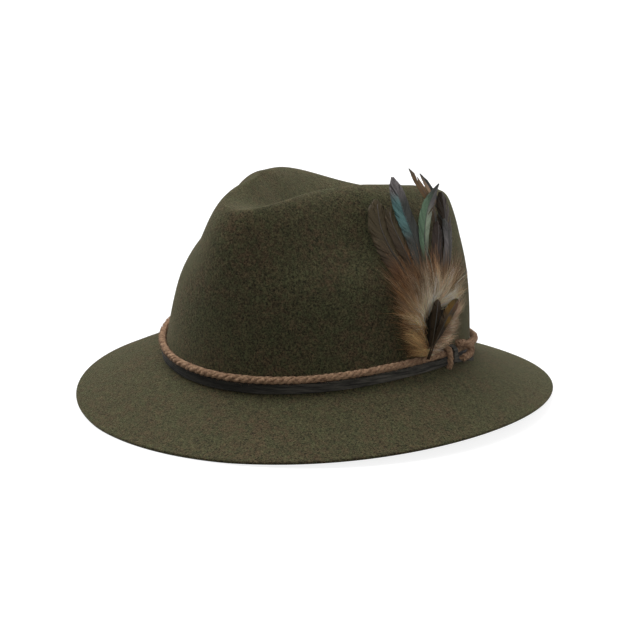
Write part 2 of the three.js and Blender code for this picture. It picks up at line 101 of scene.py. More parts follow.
class HatPlumeSettings(bpy.types.PropertyGroup):
    angle: turned("Place", "Where the quills stand, turned from the hat's front", 79.0)
    height: length("Height", "From the quills' foot to the tallest tip", 102.0 * MM)
    layer: length("Layer pitch", "From one layer of feathers to the next", 1.1 * MM)
    small_height: length("Small feathers", "Height of the two small feathers", 32.0 * MM)
    olive: color("Olive brown", "Broad feather", (0.072, 0.055, 0.030))
    brown: color("Brown", "Brown barbs", (0.064, 0.045, 0.028))
    rust: color("Rust", "Reddish edges and strands", (0.165, 0.080, 0.040))
    tan: color("Tan", "Tan barbs", (0.20, 0.125, 0.067))
    teal: color("Teal", "Blue-green sheen", (0.115, 0.225, 0.22))
    green: color("Green", "Green sheen", (0.130, 0.205, 0.130))
    violet: color("Violet grey", "Purple sheen", (0.180, 0.162, 0.160))
    slate: color("Slate", "Grey barbs", (0.060, 0.062, 0.056))
    plum: color("Plum", "Dark purple brown barbs", (0.043, 0.030, 0.024))
    black: color("Black", "Darkest barbs and stems", (0.021, 0.013, 0.006))
    silver: color("Silver", "Light streaks", (0.28, 0.34, 0.24))
    gold: color("Gold", "Olive gold streak", (0.18, 0.10, 0.024))
    fur_light: color("Fur core", "Cream wool at the fur's middle", (1.0, 0.77, 0.53))
    fur_tan: color("Fur foot", "Tan wool at the fur's foot", (0.60, 0.36, 0.165))
    fur_pink: color("Fur side", "Pinkish tan wool behind the small feathers", (0.56, 0.38, 0.25))
    fur_orange: color("Fur fringe", "Orange brown hair round it", (0.26, 0.132, 0.055))
    # Painted shade: near-black hairs that stand for the shade in the gaps between wisps
    fur_gap_shade: color("Fur shade", "Dark hair behind", (0.035, 0.022, 0.010))
    fur_count: count("Hairs", "Hairs in the fur", 9000)


class HatStageSettings(bpy.types.PropertyGroup):
    turn: turned("Camera turn", "Camera's place round the hat, from its front", 36.355)
    rise: turned("Camera rise", "Camera's height angle", 14.047)
    roll: turned("Camera roll", "Camera's roll", 1.269)
    distance: length("Camera distance", "From the camera to its target", 1025.879 * MM)
    target_side: length("Target side", "Target's place beside the hat's middle", -3.022 * MM)
    target_height: length("Target height", "Target's height over the floor", 46.378 * MM)
    lens: setting("Float", "Lens", "Focal length in millimetres", 97.23)
    floor: color("Floor", "Pale floor", (0.30, 0.30, 0.30))
    glow: setting("Float", "Floor glow", "Light that the floor gives off", 0.85)


# Objects

def only(*objects):
    """Selects these objects alone and makes the first one active"""
    bpy.ops.object.select_all(action="DESELECT")
    for obj in objects:
        obj.select_set(True)
    bpy.context.view_layer.objects.active = objects[0]


def put(thing, **values):
    for name, value in values.items():
        setattr(thing, name, value)


def linked(name, data):
    """A new object in the scene"""
    obj = bpy.data.objects.new(name, data)
    bpy.context.scene.collection.objects.link(obj)
    return obj


def apply(obj, kind, **values):
    """Adds a modifier with these values and applies it"""
    only(obj)
    modifier = obj.modifiers.new(kind.title(), kind)
    put(modifier, **values)
    bpy.ops.object.modifier_apply(modifier=modifier.name)


def smooth(obj):
    only(obj)
    bpy.ops.object.shade_smooth()


def rounded(obj):
    apply(obj, "SUBSURF", levels=2, render_levels=2)
    smooth(obj)


def joined(name, objects):
    only(*objects)
    bpy.ops.object.join()
    objects[0].name = name
    return objects[0]


def edited(obj, *steps):
    """Runs mesh operators, given as (name, values), on the whole of an object in edit mode"""
    only(obj)
    bpy.ops.object.mode_set(mode="EDIT")
    bpy.ops.mesh.select_all(action="SELECT")
    for name, values in steps:
        getattr(bpy.ops.mesh, name)(**values)
    bpy.ops.object.mode_set(mode="OBJECT")


OUTWARD = ("normals_make_consistent", dict(inside=False))
QUADS = ("tris_convert_to_quads", dict(
    face_threshold=math.radians(50), shape_threshold=math.radians(70)))


def frame_copy(node, name):
    """A copy of a frame node as one skin of quads, to be finished further"""
    obj = linked(name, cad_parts[node].data.copy())
    obj.data.materials.clear()
    edited(obj, ("remove_doubles", dict(threshold=0.00001)), QUADS)
    return obj


def mesh_piece(name, points, faces, tints=None):
    """A mesh in the scene; tints: its points' colours, which feather and fur finishes read"""
    mesh = bpy.data.meshes.new(name)
    mesh.from_pydata(np.asarray(points, float).tolist(), [], faces)
    mesh.update()
    if tints is not None:
        data = np.ones((len(mesh.vertices), 4), np.float32)
        data[:, :3] = tints
        layer = mesh.color_attributes.new("tint", "FLOAT_COLOR", "POINT")
        layer.data.foreach_set("color", data.ravel())
    return linked(name, mesh)


def tube_faces(rings, sides, closed=False):
    """Faces between rings of points; closed: the last ring meets the first"""
    faces = []
    for j in range(rings if closed else rings - 1):
        n = (j + 1) % rings
        for i in range(sides):
            k = (i + 1) % sides
            faces.append((j * sides + i, j * sides + k, n * sides + k, n * sides + i))
    return faces


def finished(obj, material, nodes):
    """Gives a piece its finish and its place in the frame"""
    obj.data.materials.clear()
    obj.data.materials.append(material)
    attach(obj, "root")
    if nodes:
        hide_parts(*nodes)


# Places on the hat

def felt_tree():
    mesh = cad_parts["felt_body"].data
    return BVHTree.FromPolygons(
        [v.co for v in mesh.vertices], [p.vertices for p in mesh.polygons])


FELT = felt_tree()
BAND_LENGTH = 196.7 * MM
BAND_WIDTH = 177.2 * MM
FOOT_FRONT, FOOT_SIDE, FOOT_BACK = 21.8 * MM, 29.6 * MM, 17.8 * MM
CLEARANCE = 0.3 * MM
OUTSIDE = 200 * MM


def foot_height(angle):
    """Height of the crown's foot over the table"""
    mean = (FOOT_FRONT + FOOT_BACK + 2 * FOOT_SIDE) / 4
    swing = (FOOT_FRONT - FOOT_BACK) / 2
    dip = (FOOT_FRONT + FOOT_BACK - 2 * FOOT_SIDE) / 4
    return mean + swing * math.cos(angle) + dip * math.cos(2 * angle)


def wall_radius(angle, height):
    """Radius of the crown's outer face, looked up on the frame's felt"""
    way = Vector((math.sin(angle), -math.cos(angle), 0))
    hit = FELT.ray_cast(way * OUTSIDE + Vector((0, 0, height)), -way)[0]
    if hit is None:
        raise RuntimeError("no felt at %.3f rad and %.4f m" % (angle, height))
    return math.hypot(hit.x, hit.y)


def beside(angle, height, out):
    """A point at a height over the crown's foot and a distance off its wall"""
    z = foot_height(angle) + height
    radius = wall_radius(angle, z)
    away = Vector((math.sin(angle) / BAND_WIDTH ** 2, -math.cos(angle) / BAND_LENGTH ** 2, 0))
    away.normalize()
    return Vector((radius * math.sin(angle), -radius * math.cos(angle), z)) + away * out


class Sheet:
    """The curved sheet in which the feathers and the fur lie, from the plume's foot upwards"""

    SHOULDER = 45 * MM
    LOW_GAP = 0.9 * MM
    HIGH_GAP = 3.5 * MM

    def __init__(self, plume, trim):
        self.middle = math.degrees(plume.angle)
        self.root = foot_height(plume.angle) + trim.cord_height + trim.cord_radius + 2 * CLEARANCE
        self.angles = np.arange(40.0, 126.0, 2.0)
        top = self.root + self.SHOULDER
        self.low, self.high = (
            np.array([wall_radius(math.radians(a), z) for a in self.angles]) + gap
            for z, gap in ((self.root, self.LOW_GAP), (top, self.HIGH_GAP)))
        self.radius = wall_radius(plume.angle, top)

    def points(self, flat, off):
        """Points from metres along the sheet and up from the plume's foot, and off the sheet"""
        along, up = flat[..., 0], flat[..., 1]
        degrees = self.middle + np.degrees(along / self.radius)
        low = np.interp(degrees, self.angles, self.low)
        high = np.interp(degrees, self.angles, self.high)
        rise = np.maximum(0.0, up / self.SHOULDER)
        r = low - (low - high) * rise ** 1.6 + off
        turn = np.radians(degrees)
        return np.stack([r * np.sin(turn), -r * np.cos(turn), self.root + up], -1)

    def flat(self, degrees, height):
        """A place on the sheet in metres, from degrees round the hat and mm over the table"""
        along = math.radians(degrees - self.middle) * self.radius
        return np.array([along, height * MM - self.root])


# Fine hairs

TINY = 1e-12


def hairs(name, lines, widths, tints=None):
    """Many tapered three-sided hairs in one mesh. lines: hairs x points x 3, the rest to match"""
    amount, steps = lines.shape[:2]
    way = np.gradient(lines, axis=1)
    way /= np.linalg.norm(way, axis=2, keepdims=True) + TINY
    side = np.cross(way, np.array([0.31, 0.55, 0.77]))
    side /= np.linalg.norm(side, axis=2, keepdims=True) + TINY
    other = np.cross(way, side)
    rings = []
    for k in range(3):
        turn = 2 * math.pi * k / 3
        around = side * math.cos(turn) + other * math.sin(turn)
        rings.append(lines[:, :-1] + around[:, :-1] * widths[:, :-1, None] / 2)
    body = np.stack(rings, axis=2).reshape(amount, (steps - 1) * 3, 3)
    points = np.concatenate([body, lines[:, -1:, :]], axis=1).reshape(-1, 3)
    shades = None
    if tints is not None:
        shades = np.concatenate([np.repeat(tints[:, :-1], 3, axis=1), tints[:, -1:]], axis=1)
        shades = shades.reshape(-1, 3)
    last, tip = 3 * (steps - 2), 3 * (steps - 1)
    pattern = [(0, 2, 1), *tube_faces(steps - 1, 3)]
    pattern += [(last + k, last + (k + 1) % 3, tip) for k in range(3)]
    faces = [tuple(i + (tip + 1) * h for i in face) for h in range(amount) for face in pattern]
    obj = mesh_piece(name, points, faces, shades)
    smooth(obj)
    return obj


def bowed(start, middle, end, steps):
    """Points of a bow from start past middle to end, for many hairs at once"""
    t = np.linspace(0, 1, steps)[None, :, None]
    return start[:, None] * (1 - t) ** 2 + middle[:, None] * 2 * t * (1 - t) + end[:, None] * t ** 2


def taper(width, steps):
    """Widths along hairs, from each one's width at its foot to nearly nothing at its tip"""
    t = np.linspace(0, 1, steps)[None, :]
    return np.asarray(width, float).reshape(-1, 1) * (1 - 0.92 * t ** 0.8)


def loose_hairs(name, start, middle, end, width):
    steps = 4
    return hairs(name, bowed(start, middle, end, steps), taper(width, steps))


def unit(vectors):
    return vectors / np.linalg.norm(vectors, axis=1, keepdims=True)


# Finishes

def feed(node, inputs):
    """Gives a node's inputs, by name or number, a link from another node or a fixed value"""
    for key, value in inputs.items():
        socket = node.inputs[key]
        if isinstance(value, bpy.types.NodeSocket):
            node.id_data.links.new(value, socket)
        else:
            socket.default_value = (*value, 1.0) if socket.type == "RGBA" else value


def added(tree, kind, inputs=None, **settings):
    """A new shader node with its settings and inputs"""
    node = tree.nodes.new("ShaderNode" + kind)
    put(node, **settings)
    feed(node, inputs or {})
    return node


def material(name):
    made = bpy.data.materials.new(name)
    made.use_nodes = True
    tree = made.node_tree
    tree.nodes.clear()
    shader = added(tree, "BsdfPrincipled")
    added(tree, "OutputMaterial", {"Surface": shader.outputs["BSDF"]})
    return made, shader


def place(shader, scale=None):
    """Object coordinates for a material's textures"""
    tree = shader.id_data
    coords = added(tree, "TexCoord").outputs["Object"]
    if scale is None:
        return coords
    return added(tree, "Mapping", {"Vector": coords, "Scale": scale}).outputs["Vector"]


def spread(value, low, high):
    """Stretches the part of a value from low to high over 0 to 1"""
    inputs = {"Value": value, "From Min": low, "From Max": high}
    return added(value.id_data, "MapRange", inputs).outputs["Result"]


def mottle(coords, low, high, scale, detail=3.0, roughness=0.6, distortion=0.0):
    """Noise, of which the part from low to high is stretched over 0 to 1"""
    noise = added(coords.id_data, "TexNoise", {
        "Vector": coords, "Scale": scale, "Detail": detail, "Roughness": roughness,
        "Distortion": distortion})
    return spread(noise.outputs["Fac"], low, high)


def blended(factor, first, second, kind="MIX"):
    """A colour between two others, which a colour mix node takes at its inputs 6 and 7"""
    given = factor if isinstance(factor, bpy.types.NodeSocket) else first
    inputs = {0: factor, 6: first, 7: second}
    return added(given.id_data, "Mix", inputs, data_type="RGBA", blend_type=kind).outputs[2]


def times(a, b):
    return added(a.id_data, "Math", {0: a, 1: b}, operation="MULTIPLY").outputs[0]


def shaded(tone, value, low, high):
    """A colour made darker and lighter by a value, between two factors"""
    inputs = {"Value": value, "To Min": low, "To Max": high}
    factor = added(value.id_data, "MapRange", inputs).outputs["Result"]
    return blended(1.0, tone, factor, "MULTIPLY")


def bumped(shader, height, strength, distance, below=None):
    inputs = {"Height": height, "Strength": strength, "Distance": distance}
    if below is not None:
        inputs["Normal"] = below
    normal = added(shader.id_data, "Bump", inputs).outputs["Normal"]
    feed(shader, {"Normal": normal})
    return normal


def wool(shader, tone, sheen, tint):
    feed(shader, {
        "Base Color": tone, "Roughness": 0.95, "Specular IOR Level": 0.15,
        "Sheen Weight": sheen, "Sheen Roughness": 0.45, "Sheen Tint": tint})


def felt_finish(felt):
    made, shader = material("olive_felt")
    coords = place(shader)
    patches = mottle(coords, 0.40, 0.62, 46, 4, 0.66)
    flecks = mottle(coords, 0.42, 0.60, 330, 3, 0.6, 0.6)
    clumps = mottle(coords, 0.32, 0.68, 190, 4, 0.7, 0.5)
    speckle = mottle(coords, 0.41, 0.59, 950, 4, 0.8, 0.9)
    strands = mottle(place(shader, (1.0, 1.0, 0.45)), 0.34, 0.70, 1500, 3, 0.6, 1.2)
    pale = mottle(coords, 0.62, 0.76, 1250, 2, 0.5, 1.5)
    tone = blended(times(patches, 0.95), felt.base, felt.brown)
    tone = blended(times(flecks, 0.70), tone, felt.green)
    tone = shaded(tone, clumps, 0.86, 1.14)
    tone = shaded(tone, speckle, 0.16, 2.02)
    tone = blended(times(pale, 0.42), tone, felt.light)
    wool(shader, tone, 0.22, (0.66, 0.62, 0.38))
    first = bumped(shader, clumps, 0.35, 0.5 * MM)
    bumped(shader, strands, 0.7, 0.25 * MM, first)
    return made


def felt_fibre_finish(felt):
    made, shader = material("loose_felt_fibres")
    share = mottle(place(shader), 0.35, 0.65, 480, 2)
    tone = blended(share, felt.base, felt.light)
    wool(shader, tone, 0.2, (0.62, 0.66, 0.36))
    return made


def tinted_finish(name, contrast, rough, specular, ripple, grain):
    """Reads the colour painted on a feather or hair and breaks it up with fine streaks"""
    made, shader = material(name)
    tint = added(shader.id_data, "VertexColor", layer_name="tint").outputs["Color"]
    streaks = mottle(place(shader), 0.3, 0.7, grain, 3, 0.65, 0.8)
    feed(shader, {
        "Base Color": shaded(tint, streaks, 1 - contrast, 1 + contrast),
        "Roughness": rough, "Specular IOR Level": specular})
    bumped(shader, streaks, ripple, 0.12 * MM)
    return made


def cord_finish(trim):
    made, shader = material("brown_wool_cord")
    coords = place(shader)
    clumps = mottle(coords, 0.34, 0.68, 420, 4, 0.7, 0.8)
    fine = mottle(coords, 0.3, 0.72, 1700, 3, 0.6, 1.0)
    pale = mottle(coords, 0.60, 0.75, 900, 2, 0.5, 1.4)
    tone = blended(clumps, trim.cord_dark, trim.cord_color)
    tone = blended(times(spread(fine, 1.0, 0.0), 0.45), tone, trim.cord_dark)
    tone = blended(times(pale, 0.5), tone, trim.cord_light)
    wool(shader, tone, 0.3, (0.9, 0.66, 0.5))
    first = bumped(shader, clumps, 0.5, 0.4 * MM)
    bumped(shader, fine, 0.7, 0.2 * MM, first)
    return made


def strap_finish(trim):
    """Dark leather, lighter in noise streaks along it, most on the knot's side"""
    made, shader = material("dark_ridged_leather")
    grain = mottle(place(shader, (1.0, 1.0, 6.0)), 0.3, 0.72, 260, 4, 0.65, 0.4)
    streak_noise = mottle(place(shader, (0.35, 0.35, 5.0)), 0.40, 0.74, 150, 5, 0.7, 0.2)
    sides = added(shader.id_data, "SeparateXYZ", {"Vector": place(shader)}).outputs
    knot_side = times(spread(sides["X"], 20 * MM, 80 * MM),
                    spread(sides["Y"], 45 * MM, 5 * MM))
    # lighter streaks, placed by position round the hat and not on the ridges
    light_streaks = shaded(streak_noise, knot_side, 0.25, 1.0)
    feed(shader, {
        "Base Color": blended(light_streaks, trim.strap_color, trim.strap_light),
        "Roughness": 0.62, "Specular IOR Level": 0.15})
    bumped(shader, grain, 0.5, 0.25 * MM)
    return made


def pale_finish(stage, name, glow):
    made, shader = material(name)
    tone = mottle(place(shader), 0.0, 1.0, 3.0, 2)
    lower = tuple(c * 0.985 for c in stage.floor)
    feed(shader, {
        "Base Color": blended(tone, lower, stage.floor), "Roughness": 0.9,
        "Specular IOR Level": 0.1, "Emission Color": (1, 1, 1), "Emission Strength": glow})
    return made


# Felt

UNDERSIDE = -0.25  # a face with its normal's z below this looks down


def fibres(mesh, felt):
    """Loose fibres at random over the felt, a tenth as thick on its undersides"""
    rng = np.random.default_rng(11)
    amount = felt.fuzz_count
    corners = np.zeros(len(mesh.vertices) * 3)
    mesh.vertices.foreach_get("co", corners)
    corners = corners.reshape(-1, 3)
    normals = np.array([p.normal for p in mesh.polygons])
    areas = np.array([p.area for p in mesh.polygons])
    areas[normals[:, 2] < UNDERSIDE] *= 0.1
    chosen = rng.choice(len(areas), amount, p=areas / areas.sum())
    weight = rng.dirichlet((1, 1, 1, 1), amount)
    quads = np.array([[*p.vertices, p.vertices[-1]][:4] for p in mesh.polygons])
    start = (corners[quads[chosen]] * weight[:, :, None]).sum(1)
    out = normals[chosen]
    drift = unit(np.cross(out, rng.normal(size=out.shape)))
    size = felt.fuzz_length * rng.uniform(0.45, 1.0, (amount, 1))
    lift = rng.uniform(0.12, 0.55, (amount, 1))
    start = start - out * 0.1 * MM
    middle = start + (drift * 0.5 + out * lift) * size
    end = start + (drift + out * lift * rng.uniform(0.2, 1.1, lift.shape)) * size
    width = rng.uniform(0.035, 0.07, amount) * MM
    return loose_hairs("loose_felt_fibres", start, middle, end, width)


class HAT_OT_felt(bpy.types.Operator):
    """Crown and brim in one felt shell, smoothed from the frame, with loose fibres on it"""
    bl_idname = "hat.felt"
    bl_label = "Felt body"

    def execute(self, context):
        felt = context.scene.hat_felt
        body = frame_copy("felt_body", "felt_crown_and_brim")
        rounded(body)
        finished(body, felt_finish(felt), ["felt_body"])
        fuzz = fibres(body.data, felt)
        finished(fuzz, felt_fibre_finish(felt), [])
        return {"FINISHED"}


# Cord and strap

CORD_STEPS = 720
STRAP_STEPS = 300
CORD_HAIRS = 15000
STRANDS = 3
STRAND_SHARE = 0.56
WRAP_RADIUS = 1.7 * MM
END_RADIUS = 2.2 * MM
WRAP_PLACE = 88.7
END_PLACE = 96.2
RIDGES = 5
RIDGE_DEPTH = 0.16 * MM
EDGE_DEPTH = 0.55 * MM


def twisted(name, route, radius, turns, closed):
    """A cord of strands wound unevenly round each other along a route of points"""
    rng = np.random.default_rng(len(name))
    n = len(route)
    uneven = rng.normal(size=(STRANDS + 1, n))
    soft = np.exp(-np.square(np.minimum(np.arange(n), n - np.arange(n)) / 5.0))
    uneven = np.fft.ifft(np.fft.fft(uneven, axis=1) * np.fft.fft(soft), axis=1).real
    uneven /= uneven.std()
    data = bpy.data.curves.new(name, "CURVE")
    put(data, dimensions="3D", bevel_depth=radius * STRAND_SHARE, bevel_resolution=3,
        use_fill_caps=not closed)
    for strand in range(STRANDS):
        spline = data.splines.new("POLY")
        spline.points.add(n - 1)
        spline.use_cyclic_u = closed
        for i, middle in enumerate(route):
            before = route[i - 1] if closed or i else middle
            after = route[(i + 1) % n] if closed or i < n - 1 else middle
            way = (after - before).normalized()
            side = way.cross(Vector((0, 0, 1)))
            if side.length <= 0.2:
                side = way.cross(Vector((1, 0, 0)))
            side.normalize()
            up = side.cross(way)
            turn = 2 * math.pi * (turns * i / (n if closed else n - 1) + strand / STRANDS)
            turn += 0.35 * uneven[STRANDS, i]
            ring = radius * (1 - STRAND_SHARE)
            point = spline.points[i]
            point.radius = 1 + 0.07 * max(-2.0, min(1.0, uneven[strand, i]))
            point.co = (*(middle + (side * math.cos(turn) + up * math.sin(turn)) * ring), 1)
    obj = linked(name, data)
    only(obj)
    bpy.ops.object.convert(target="MESH")
    smooth(obj)
    return obj


def cord_fuzz(name, route, radius, amount, closed, seed, longest):
    """Short loose hairs round a cord"""
    rng = np.random.default_rng(seed)
    route = np.array([tuple(p) for p in route])
    if closed:
        route = np.vstack([route, route[:1]])
    place_at = rng.uniform(0, len(route) - 1.001, amount)
    first = place_at.astype(int)
    f = (place_at - first)[:, None]
    middle = route[first] * (1 - f) + route[first + 1] * f
    way = unit(route[first + 1] - route[first])
    out = unit(np.cross(way, rng.normal(size=way.shape)))
    start = middle + out * radius * 0.82
    size = rng.uniform(0.6, longest, (amount, 1)) * MM
    slant = rng.uniform(-1, 1, (amount, 1))
    drift = out * rng.uniform(0.15, 0.75, (amount, 1)) + way * slant
    end = start + (drift + rng.normal(size=way.shape) * 0.25) * size
    bend = (start + end) / 2 + out * size * 0.18
    return loose_hairs(name, start, bend, end, rng.uniform(0.06, 0.13, amount) * MM)


class HAT_OT_cord(bpy.types.Operator):
    """Twisted wool cord once round the crown's foot"""
    bl_idname = "hat.cord"
    bl_label = "Cord"

    def execute(self, context):
        trim = context.scene.hat_trim
        radius = trim.cord_radius
        route = [beside(2 * math.pi * k / CORD_STEPS, trim.cord_height, CLEARANCE + radius)
                 for k in range(CORD_STEPS)]
        cord = twisted("twisted_cord", route, radius, trim.cord_turns, True)
        finish = cord_finish(trim)
        finished(cord, finish, ["cord"])
        fuzz = cord_fuzz("cord_fuzz", route, radius, CORD_HAIRS, True, 21, 2.2)
        finished(fuzz, finish, [])
        return {"FINISHED"}


def strap_profile(trim):
    """Section of the strap as (height, out): ridged in front, flat behind, rounded at its edges"""
    low, high = trim.strap_low, trim.strap_high
    thick = CLEARANCE + trim.strap_thick
    steps = RIDGES * 6
    face = []
    for k in range(steps + 1):
        t = k / steps
        edge = max(0.0, abs(t - 0.5) * 2 - 0.86) / 0.14
        wave = RIDGE_DEPTH * (0.5 - 0.5 * math.cos(2 * math.pi * RIDGES * t))
        face.append((high + (low - high) * t, thick - EDGE_DEPTH * edge ** 2 - RIDGE_DEPTH + wave))
    return [(high, CLEARANCE), *face, (low, CLEARANCE)]


class HAT_OT_strap(bpy.types.Operator):
    """Dark ridged strap once round, below the cord"""
    bl_idname = "hat.strap"
    bl_label = "Strap"

    def execute(self, context):
        trim = context.scene.hat_trim
        low, high = trim.strap_low, trim.strap_high
        profile = strap_profile(trim)
        points = []
        for j in range(STRAP_STEPS):
            angle = 2 * math.pi * j / STRAP_STEPS
            base, top = beside(angle, low, 0.0), beside(angle, high, 0.0)
            away = (beside(angle, low, 0.01) - base).normalized()
            for height, out in profile:
                t = (height - low) / (high - low)
                waver = 0.12 * MM * math.sin(angle * 23 + height * 900)
                points.append(base.lerp(top, t) + away * (out + waver * (out > CLEARANCE * 1.5)))
        strap = mesh_piece("ridged_strap", points, tube_faces(STRAP_STEPS, len(profile), True))
        edited(strap, OUTWARD)
        bpy.ops.object.shade_smooth_by_angle(angle=math.radians(50))
        finished(strap, strap_finish(trim), ["strap"])
        return {"FINISHED"}


def between(a, b, c, d, f):
    """A point between b and c on the smooth curve through four points"""
    return 0.5 * (b * 2 + (c - a) * f + (a * 2 - b * 5 + c * 4 - d) * f ** 2
                  + (b * 3 - a - c * 3 + d) * f ** 3)


def flowing(points, steps):
    """Points of a smooth curve through the given ones"""
    ends = [points[0] * 2 - points[1], *points, points[-1] * 2 - points[-2]]
    made = []
    for k in range(steps + 1):
        t = (len(points) - 1) * k / steps
        i = min(int(t), len(points) - 2)
        made.append(between(*ends[i:i + 4], t - i))
    return made


def wrap_places(trim):
    """Places down over cord and strap, as degrees, height and distance off the wall"""
    out = CLEARANCE + trim.cord_radius
    reach = trim.cord_radius + CLEARANCE + WRAP_RADIUS
    slant = reach * math.sqrt(0.5)
    turn = (
        (2.3 * MM, trim.cord_height + reach),
        (out + slant, trim.cord_height + slant),
        (out + reach, trim.cord_height),
        (out + reach, (trim.strap_low + trim.strap_high) / 2),
        (CLEARANCE * 2 + trim.strap_thick + 2 * WRAP_RADIUS, trim.strap_low + 0.2 * MM),
    )
    return [(WRAP_PLACE, height, off) for off, height in turn]


def end_places(trim):
    """Places of the free end, bent over from above the cord to a cut facing forward"""
    out = CLEARANCE + trim.cord_radius
    clear = trim.cord_radius + 0.4 * MM + END_RADIUS
    bend = ((0, 0.95, 0.36), (3.3, 0.78, 0.78), (6.0, 0.22, 1.16),
            (5.2, -0.42, 1.26), (2.4, -0.74, 1.20), (-0.4, -0.80, 1.14))
    return [(END_PLACE + on, trim.cord_height + clear * up, out + clear * off)
            for on, up, off in bend]


def rope(name, places, steps, radius, turns, amount, seed, longest):
    """A fuzzy cord past places on the hat, with open ends"""
    route = flowing([beside(math.radians(d), height, off) for d, height, off in places], steps)
    cord = twisted(name, route, radius, turns, False)
    fuzz = cord_fuzz(name + "_fuzz", route, radius, amount, False, seed, longest)
    return joined(name, [cord, fuzz])


class HAT_OT_knot(bpy.types.Operator):
    """The knot: a turn of the cord, a turn of the strap, and their two free ends"""
    bl_idname = "hat.knot"
    bl_label = "Knot"

    def execute(self, context):
        trim = context.scene.hat_trim
        finish = cord_finish(trim)
        leather = strap_finish(trim)
        for node, name in (("strap_wrap", "strap_turn"), ("strap_tail", "strap_end")):
            piece = frame_copy(node, name)
            apply(piece, "BEVEL", width=0.25 * MM, segments=2)
            rounded(piece)
            finished(piece, leather, [node])
        wrap = rope("cord_turn", wrap_places(trim), 40, WRAP_RADIUS, 2.2, 500, 31, 1.8)
        finished(wrap, finish, ["cord_wrap"])
        end = rope("cord_end", end_places(trim), 60, END_RADIUS, 3.0, 900, 32, 2.2)
        end.name = "cord_cut_end"
        finished(end, finish, ["cord_end"])
        return {"FINISHED"}


# Feathers

STATIONS = (0, 0.13, 0.26, 0.39, 0.52, 0.64, 0.75, 0.85, 0.94, 1)
FORMS = {
    "leaf": (0, 0, 0.25, 0.55, 0.80, 0.95, 1.0, 0.94, 0.74, 0.24),
    "blunt": (0, 0, 0.30, 0.62, 0.84, 0.96, 1.0, 0.98, 0.78, 0.12),
    "lance": (0, 0, 0.20, 0.30, 0.42, 0.74, 1.0, 0.86, 0.46, 0.06),
    "spike": (0, 0, 0.30, 0.45, 0.60, 0.75, 0.90, 1.0, 0.86, 0.08),
}

Feather = namedtuple("Feather", "node slot layer width form splits line left right")

# width: in mm. splits: partings of each vane. line: the feather's middle from its foot to its
# tip, as degrees from the plume's middle and shares of its height. left and right: colours of
# the two vanes at shares of the feather's length, each holding past its first and last place
LONG_FEATHERS = (
    Feather("feather_broad_olive", "brown_feather", 0, 16.0, "blunt", 0,
            ((-3.0, 0), (-4.4, 0.24), (-6.7, 0.44), (-12.1, 0.6), (-14.2, 0.71),
             (-13.5, 0.84)),
            "0.5 rust, 0.66 brown, 0.82 olive",
            "0 rust, 0.55 brown, 0.75 olive"),
    Feather("feather_tan_spike", "brown_feather", 0, 4.8, "spike", 1,
            ((0.2, 0), (4.9, 0.28), (9.6, 0.53), (13.4, 0.71), (12.9, 0.8),
             (10.4, 0.87), (5.6, 1.0)),
            "0.7 brown, 0.82 tan, 0.95 tan, 1 slate",
            "0 brown, 0.7 slate, 0.85 tan, 0.95 tan, 1 slate"),
    Feather("feather_grey_spike", "dark_feather", 0, 4.8, "spike", 1,
            ((1.8, 0), (8.4, 0.3), (14.1, 0.57), (17.5, 0.73), (15.9, 0.83),
             (10.4, 0.97)),
            "0 brown, 0.6 slate, 0.8 slate, 0.9 fur_pink, 1 slate",
            "0 brown, 0.6 slate"),
    Feather("feather_brown_teal", "brown_feather", 1, 9.0, "leaf", 1,
            ((-2.6, 0), (-2.6, 0.25), (-3.5, 0.47), (-6.3, 0.6), (-9.0, 0.72),
             (-8.8, 0.8)),
            "0 rust, 0.6 brown, 0.8 brown, 1 olive",
            "0.6 rust, 0.8 olive"),
    Feather("feather_purple_black", "dark_feather", 1, 13.0, "leaf", 2,
            ((3.4, 0), (10.8, 0.3), (17.1, 0.57), (18.9, 0.72), (19.3, 0.86)),
            "0 brown, 0.5 black",
            "0 brown, 0.5 plum"),
    Feather("feather_teal", "shiny_feather", 2, 11.5, "blunt", 0,
            ((-1.6, 0), (0.1, 0.3), (0.2, 0.5), (-0.3, 0.62), (-3.0, 0.77),
             (-4.1, 0.96)),
            "0 brown, 0.45 slate, 0.66 slate, 0.76 teal, 0.86 teal, 0.92 violet",
            "0 brown, 0.45 slate, 0.85 slate, 0.93 violet"),
    Feather("feather_plum", "dark_feather", 2, 9.0, "blunt", 1,
            ((1.6, 0), (5.2, 0.25), (8.6, 0.49), (11.9, 0.63), (12.9, 0.71)),
            "0 brown, 0.5 plum",
            "0 brown, 0.5 plum"),
    Feather("feather_green", "shiny_feather", 3, 8.4, "lance", 1,
            ((-0.4, 0), (1.0, 0.3), (3.0, 0.57), (5.2, 0.7), (9.6, 0.81),
             (17.1, 0.91)),
            "0 brown, 0.5 slate, 0.62 green, 0.84 green, 0.93 slate",
            "0 brown, 0.55 slate, 0.68 silver, 0.76 silver, 0.86 violet, 1 slate"),
    Feather("feather_slate", "dark_feather", 3, 7.0, "leaf", 1,
            ((2.8, 0), (8.8, 0.27), (13.9, 0.49), (16.5, 0.59), (16.0, 0.72)),
            "0 brown, 0.6 slate, 0.8 violet, 1 slate",
            "0 brown, 0.6 plum, 1 slate"),
)

SMALL_FEATHERS = (
    Feather("small_feather_dark", "dark_feather", 0, 6.2, "blunt", 1,
            ((-4.8, 0), (-2.8, 0.24), (-1.4, 0.48), (0.2, 0.74), (1.7, 1.0)),
            "0.8 black, 1 brown",
            "0.8 black, 1 brown"),
    Feather("small_feather_gold", "brown_feather", 1, 7.4, "leaf", 1,
            ((-4.9, 0), (-1.9, 0.27), (1.8, 0.51), (6.0, 0.74), (11.2, 0.93)),
            "0.5 black, 0.66 brown, 0.82 gold, 1 olive",
            "0.5 black, 0.66 gold, 0.74 brown, 1 rust"),
)


